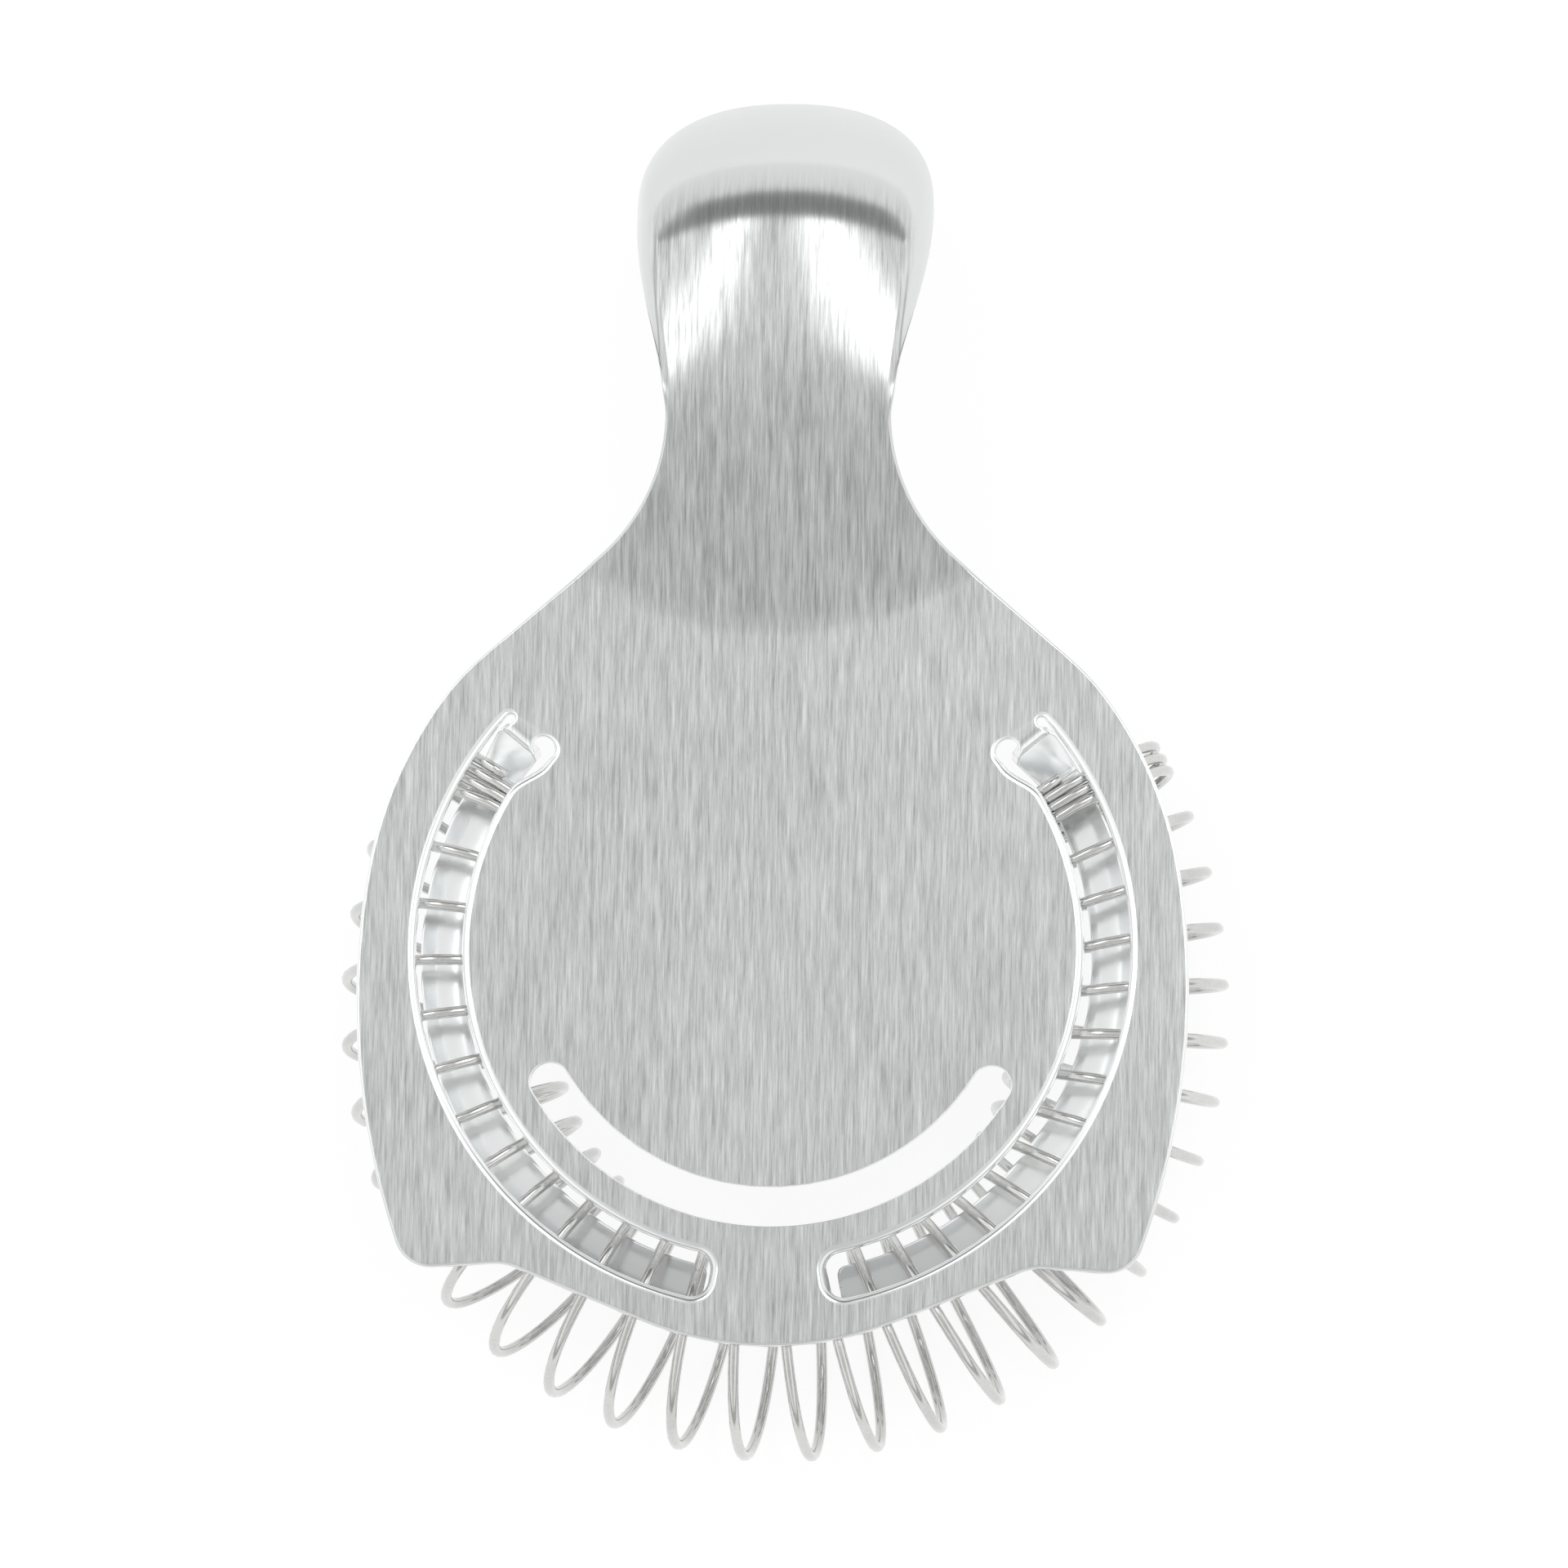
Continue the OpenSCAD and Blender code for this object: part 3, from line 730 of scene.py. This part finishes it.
def coil_centre(share):
    """The coil's centre line: the ring of the track, bulging out in front of the plate."""
    a = np.radians(180 - COIL_END_ANGLE + (180 + 2 * COIL_END_ANGLE) * share)
    r = TRACK_R + COIL_BULGE * bulge_rise(-np.sin(a)) / bulge_rise(1.0)
    x, y = COIL_SHIFT
    return np.stack([r * np.cos(a) + x, r * np.sin(a) + y, np.full_like(a, COIL_Z)], axis=-1)


def arc_share(turns):
    """Share of the coil's arc reached after some turns: closed ends and an open middle."""
    closed = CLOSED_TURNS * CLOSED_PITCH / math.radians(180 + 2 * COIL_END_ANGLE) / TRACK_R
    whole = OPEN_TURNS + 2 * CLOSED_TURNS
    f = np.clip((turns - CLOSED_TURNS) / OPEN_TURNS, 0, 1)
    spread = f * (1 - f) * (PITCH_SKEW + PITCH_WAVE * (1 - 2 * f))
    middle = closed + (1 - 2 * closed) * (f + spread)
    first = closed * turns / CLOSED_TURNS
    last = 1 - closed * (whole - turns) / CLOSED_TURNS
    share = np.where(turns < CLOSED_TURNS, first, middle)
    return np.where(turns > whole - CLOSED_TURNS, last, share)


def wire_point(turns):
    """A point of the wire's centre line after some turns."""
    share = arc_share(turns)
    near = 0.001
    ahead = unit(coil_centre(share + near) - coil_centre(share - near))
    outward = np.cross(ahead, UP)
    a = 2 * math.pi * turns[:, None]
    return coil_centre(share) + (COIL_OD - WIRE_D) / 2 * (outward * np.sin(a) + UP * np.cos(a))


def coil_spring():
    """The round wire swept along its turns, with a small dome on each cut end."""
    whole = OPEN_TURNS + 2 * CLOSED_TURNS
    turns = np.linspace(0, whole, whole * TURN_STEPS + 1)
    line = wire_point(turns)
    near = 0.004
    ahead = unit(wire_point(turns + near) - wire_point(turns - near))
    away = unit(line - coil_centre(arc_share(turns)))
    side = unit(np.cross(ahead, away))
    lift = np.cross(side, ahead)

    order = [(0, -reach, scale) for reach, scale in END_DOME]
    order += [(i, 0.0, 1.0) for i in range(len(turns))]
    order += [(len(turns) - 1, reach, scale) for reach, scale in END_DOME[::-1]]
    angles = np.linspace(0, 2 * math.pi, WIRE_SIDES, endpoint=False)
    rings = []
    for i, reach, scale in order:
        spokes = np.outer(np.cos(angles), lift[i]) + np.outer(np.sin(angles), side[i])
        rings.append(line[i] + reach * WIRE_D * ahead[i] + spokes * WIRE_D / 2 * scale)
    points = np.concatenate(rings)
    faces = []
    for i in range(len(rings) - 1):
        for j in range(WIRE_SIDES):
            k = (j + 1) % WIRE_SIDES
            a = i * WIRE_SIDES
            faces.append((a + j, a + k, a + WIRE_SIDES + k, a + WIRE_SIDES + j))
    last = (len(rings) - 1) * WIRE_SIDES
    faces.append(tuple(range(WIRE_SIDES))[::-1])
    faces.append(tuple(range(last, last + WIRE_SIDES)))
    mesh = bpy.data.meshes.new("coil")
    mesh.from_pydata((points * MM).tolist(), [], faces)
    mesh.shade_smooth()
    mesh.update()
    return bpy.data.objects.new("spring_coil", mesh)


# ---- node helpers --------------------------------------------------------------

class Nodes:
    """Short calls for building a shader tree."""

    def __init__(self, tree):
        self.tree = tree
        tree.nodes.clear()

    def put(self, value, socket):
        if hasattr(value, "is_output"):
            self.tree.links.new(value, socket)
        else:
            socket.default_value = value

    def new(self, kind, **inputs):
        node = self.tree.nodes.new(kind)
        for name, value in inputs.items():
            self.put(value, node.inputs[name.replace("_", " ")])
        return node

    def math(self, operation, a, b=0.0):
        node = self.tree.nodes.new("ShaderNodeMath")
        node.operation = operation
        self.put(a, node.inputs[0])
        self.put(b, node.inputs[1])
        return node.outputs[0]

    def times(self, a, b):
        return self.math("MULTIPLY", a, b)

    def plus(self, a, b):
        return self.math("ADD", a, b)

    def ramp(self, value, low, high, to_low=0.0, to_high=1.0, soft=True):
        """Goes from one value to another as value runs from low to high, and holds both ends."""
        node = self.tree.nodes.new("ShaderNodeMapRange")
        node.interpolation_type = "SMOOTHSTEP" if soft else "LINEAR"
        self.put(value, node.inputs["Value"])
        node.inputs["From Min"].default_value = low
        node.inputs["From Max"].default_value = high
        node.inputs["To Min"].default_value = to_low
        node.inputs["To Max"].default_value = to_high
        return node.outputs["Result"]

    def fall(self, value, low, high):
        return self.ramp(value, low, high, 1.0, 0.0)

    def spread(self, noise, low, high):
        """Spreads the middle of a noise's range evenly from low to high."""
        return self.ramp(noise, 0.3, 0.7, low, high, soft=False)

    def window(self, value, span, soft):
        """1 inside the span, 0 outside, with edges soft wide."""
        low, high = span
        rise = self.ramp(value, low - soft, low + soft)
        return self.times(rise, self.fall(value, high - soft, high + soft))

    def mix(self, share, a, b):
        node = self.tree.nodes.new("ShaderNodeMix")
        self.put(share, node.inputs[0])
        self.put(a, node.inputs[2])
        self.put(b, node.inputs[3])
        return node.outputs[0]

    def position(self, space):
        """X, Y and Z of a texture space."""
        coords = self.tree.nodes.new("ShaderNodeTexCoord")
        split = self.tree.nodes.new("ShaderNodeSeparateXYZ")
        self.tree.links.new(coords.outputs[space], split.inputs[0])
        return split.outputs

    def noise(self, scale, stretch=(1, 1, 1), detail=2.0, roughness=0.5, shift=(0, 0, 0)):
        coords = self.tree.nodes.new("ShaderNodeTexCoord")
        mapping = self.tree.nodes.new("ShaderNodeMapping")
        mapping.inputs["Scale"].default_value = stretch
        mapping.inputs["Location"].default_value = shift
        self.tree.links.new(coords.outputs["Object"], mapping.inputs["Vector"])
        node = self.tree.nodes.new("ShaderNodeTexNoise")
        self.tree.links.new(mapping.outputs["Vector"], node.inputs["Vector"])
        node.inputs["Scale"].default_value = scale
        node.inputs["Detail"].default_value = detail
        node.inputs["Roughness"].default_value = roughness
        return node.outputs["Fac"]

    def grey(self, value, tint=(1.0, 1.0, 1.0)):
        node = self.tree.nodes.new("ShaderNodeCombineColor")
        for share, socket in zip(tint, node.inputs):
            self.put(self.times(value, share), socket)
        return node.outputs[0]

    def surface(self, shader, kind="ShaderNodeOutputMaterial"):
        output = self.tree.nodes.new(kind)
        self.put(shader.outputs[0], output.inputs["Surface"])

    def metal(self, colour, rough, height, strength, depth):
        """A bare metal surface whose bumps follow height, depth metres deep."""
        bump = self.new("ShaderNodeBump", Strength=strength, Distance=depth, Height=height)
        shader = self.new(
            "ShaderNodeBsdfPrincipled", Metallic=1.0, Base_Color=colour, Roughness=rough
        )
        self.put(bump.outputs["Normal"], shader.inputs["Normal"])
        self.surface(shader)
        return shader


def procedural(name):
    material = bpy.data.materials.new(name)
    material.use_nodes = True
    return material, Nodes(material.node_tree)


# ---- materials -----------------------------------------------------------------

# Grain across, along and through the sheet, in waves per metre
FINE_GRAIN = (5200, 240, 240)
BROAD_GRAIN = (1700, 85, 85)
SCRATCHES = (3800, 150, 150)
SHEET_TINT = (0.985, 1.0, 1.003)
WIRE_TINT = (1.004, 1.0, 0.985)


def sheet_material():
    """Satin steel brushed along the handle on top, smooth on lips, rim and strips."""
    material, n = procedural("brushed_sheet")
    brushed = n.new("ShaderNodeAttribute")
    brushed.attribute_name = "brushed"
    brushed = brushed.outputs["Fac"]

    fine = n.noise(1.0, FINE_GRAIN, 3.0, 0.6)
    broad = n.noise(1.0, BROAD_GRAIN, 2.0, 0.5, (3, 1, 0))
    cloud = n.noise(28.0, (1, 0.6, 1), 3.0, 0.5, (7, 2, 0))
    scratch = n.ramp(n.noise(1.0, SCRATCHES, 1.0, 0.5, (11, 5, 0)), 0.70, 0.80)
    orange_peel = n.noise(420.0, (1, 1, 1), 2.0, 0.5, (2, 2, 2))

    # the brushed face is streaked, slightly cloudy and has some bright scratches
    grain = n.plus(n.times(fine, 0.62), n.times(broad, 0.38))
    tone = n.spread(grain, 0.32, 0.80)
    tone = n.plus(tone, n.spread(cloud, -0.018, 0.018))
    tone = n.plus(tone, n.times(scratch, 0.10))

    # painted light: the smooth parts are painted brighter round the slots than on the rim, and the
    # strips' free ends get painted shade that makes them darker than the lips above them
    _, y, z = n.position("Object")
    # painted light: smooth parts over the head are lighter, less at the front and none on the
    # handle's rim
    painted_brightening = n.times(n.ramp(y, -0.036, -0.018, 0.04, 0.24), n.fall(y, 0.036, 0.046))
    # painted shade: the strips' free ends, low under the plate, are darker
    painted_shade = n.times(n.ramp(y, -0.036, -0.022, 0.16, 0.0), n.fall(z, -0.006, -0.003))
    smooth_tone = n.plus(n.spread(cloud, 0.69, 0.73), painted_brightening)
    smooth_tone = n.math("SUBTRACT", smooth_tone, painted_shade)
    value = n.mix(brushed, smooth_tone, tone)

    rough = n.mix(brushed, n.spread(orange_peel, 0.13, 0.19), n.spread(grain, 0.24, 0.18))
    height = n.mix(brushed, n.times(orange_peel, 0.35), grain)
    shader = n.metal(n.grey(value, SHEET_TINT), rough, height, 0.10, 0.00003)
    across = n.new("ShaderNodeCombineXYZ", X=1.0)
    n.put(n.times(brushed, 0.5), shader.inputs["Anisotropic"])
    n.put(across.outputs[0], shader.inputs["Tangent"])
    return material


def wire_material():
    """Bright drawn spring wire with faint draw marks and slight tarnish."""
    material, n = procedural("spring_wire")
    tarnish = n.noise(90.0, (1, 1, 1), 3.0, 0.55)
    marks = n.noise(2600.0, (1, 1, 1), 2.0, 0.6, (4, 4, 4))
    value = n.plus(n.spread(tarnish, 0.57, 0.67), n.spread(marks, -0.03, 0.03))
    rough = n.spread(marks, 0.10, 0.20)
    n.metal(n.grey(value, WIRE_TINT), rough, marks, 0.08, 0.00002)
    return material


def floor_material():
    """Plain white studio floor that glows a little, so that it stays white but for shadows."""
    material, n = procedural("studio_floor")
    colour = n.grey(n.spread(n.noise(3.0), 0.17, 0.18))
    shader = n.new("ShaderNodeBsdfPrincipled", Base_Color=colour, Roughness=0.8)
    shader.inputs["Emission Color"].default_value = (1, 1, 1, 1)
    shader.inputs["Emission Strength"].default_value = 0.84
    n.surface(shader)
    return material


# ---- studio --------------------------------------------------------------------

# Directions in degrees: forward and sideways tilt from straight up towards the handle
# and to the right, height rises from the horizon, heading turns from the handle.
SKY_SPAN = 40
SKY_LEFT = 0.86
SKY_RIGHT = 0.76
DIM_LIGHT = 0.085
DIM_START = (-14, -5)
DIM_END = (-60, -30)
DIM_SIDEWAYS = (-22, 30)
ASIDE = (28, 38)
ASIDE_LIGHT = 1.15
LOW_HEADING = (55, 75)
LOW_HEIGHT = (12, 22)
LOW_LIGHT = 0.55
BOX_FORWARD = (5, 41)
BOX_LEFT = (-25, -16)
BOX_RIGHT = (7, 21)
BOX_LIGHT = 2.4
GAP_FORWARD = (40, 64)
GAP_SIDEWAYS = (-52, 52)
GAP_LIGHT = 0.29
BEHIND = (60, 70)
BEHIND_LIGHT = 0.97
HORIZON = (-1, 1)

FLOOR_HALF = 3.0
FLOOR_GAP = 0.0002

CAMERA_AT = (0.05535, -0.1334, 1.0)
CAMERA_TARGET = (0.00106, 0.01856, 0.0)
CAMERA_ROLL = 0.838
CAMERA_LENS = 207.97
CAMERA_SENSOR = 36.0


def studio_dome(scene):
    """A pale dome for the metal to reflect: brighter at the sides and greyer low down there,
    slightly dim in front, with two soft boxes beside the handle and a dark gap behind it."""
    world = bpy.data.worlds.new("studio")
    world.use_nodes = True
    scene.world = world
    n = Nodes(world.node_tree)
    x, y, z = n.position("Generated")
    degree = 180 / math.pi
    forward = n.times(n.math("ARCTAN2", y, z), degree)
    sideways = n.times(n.math("ARCTAN2", x, z), degree)
    height = n.times(n.math("ARCSINE", z), degree)
    heading = n.times(n.math("ARCTAN2", x, y), degree)

    light = n.ramp(sideways, -SKY_SPAN, SKY_SPAN, SKY_LEFT, SKY_RIGHT, soft=False)
    dim = n.times(n.fall(forward, *DIM_START), n.window(sideways, DIM_SIDEWAYS, 10))
    dim = n.times(dim, n.ramp(forward, *DIM_END))
    light = n.math("SUBTRACT", light, n.times(dim, DIM_LIGHT))
    light = n.mix(n.ramp(n.math("ABSOLUTE", sideways), *ASIDE), light, ASIDE_LIGHT)
    low = n.times(n.fall(height, *LOW_HEIGHT), n.ramp(n.math("ABSOLUTE", heading), *LOW_HEADING))
    light = n.mix(low, light, LOW_LIGHT)
    boxes = n.plus(n.window(sideways, BOX_LEFT, 2), n.window(sideways, BOX_RIGHT, 2))
    boxes = n.times(boxes, n.window(forward, BOX_FORWARD, 3))
    light = n.plus(light, n.times(boxes, BOX_LIGHT))
    gap = n.times(n.window(forward, GAP_FORWARD, 4), n.window(sideways, GAP_SIDEWAYS, 8))
    light = n.mix(n.ramp(forward, *BEHIND), light, BEHIND_LIGHT)
    light = n.mix(gap, light, GAP_LIGHT)
    light = n.mix(n.fall(height, *HORIZON), light, BEHIND_LIGHT)
    n.surface(
        n.new("ShaderNodeBackground", Color=n.grey(light), Strength=1.0),
        "ShaderNodeOutputWorld",
    )


def studio_floor(scene, height):
    """A large plane just under the object."""
    half = FLOOR_HALF
    corners = [(x * half, y * half, height) for x, y in ((-1, -1), (1, -1), (1, 1), (-1, 1))]
    mesh = bpy.data.meshes.new("floor")
    mesh.from_pydata(corners, [], [(0, 1, 2, 3)])
    floor = bpy.data.objects.new("floor", mesh)
    floor.data.materials.append(floor_material())
    scene.collection.objects.link(floor)


def studio_camera(scene):
    """Looks down on the head, a little from the front and the right, handle at the top."""
    data = bpy.data.cameras.new("camera")
    data.sensor_width = CAMERA_SENSOR
    data.lens = CAMERA_LENS
    data.clip_end = 10.0
    camera = bpy.data.objects.new("camera", data)
    scene.collection.objects.link(camera)
    place = Vector(CAMERA_AT)
    forward = (Vector(CAMERA_TARGET) - place).normalized()
    right = forward.cross(Vector((0, 1, 0))).normalized()
    right = Matrix.Rotation(math.radians(CAMERA_ROLL), 3, -forward) @ right
    turn = Matrix((right, right.cross(forward), -forward)).transposed()
    camera.matrix_world = Matrix.Translation(place) @ turn.to_4x4()
    scene.camera = camera


# ---- build ---------------------------------------------------------------------

scene = bpy.context.scene
scene.view_settings.view_transform = "Standard"

body = strainer_sheet()
body.data.materials.append(sheet_material())
scene.collection.objects.link(body)
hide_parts("strainer_body")
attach(body, "strainer")

coil = coil_spring()
coil.data.materials.append(wire_material())
scene.collection.objects.link(coil)
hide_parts("coil_spring")
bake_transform(coil)

studio_dome(scene)
studio_floor(scene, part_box("coil_spring")[0].z - FLOOR_GAP)
studio_camera(scene)
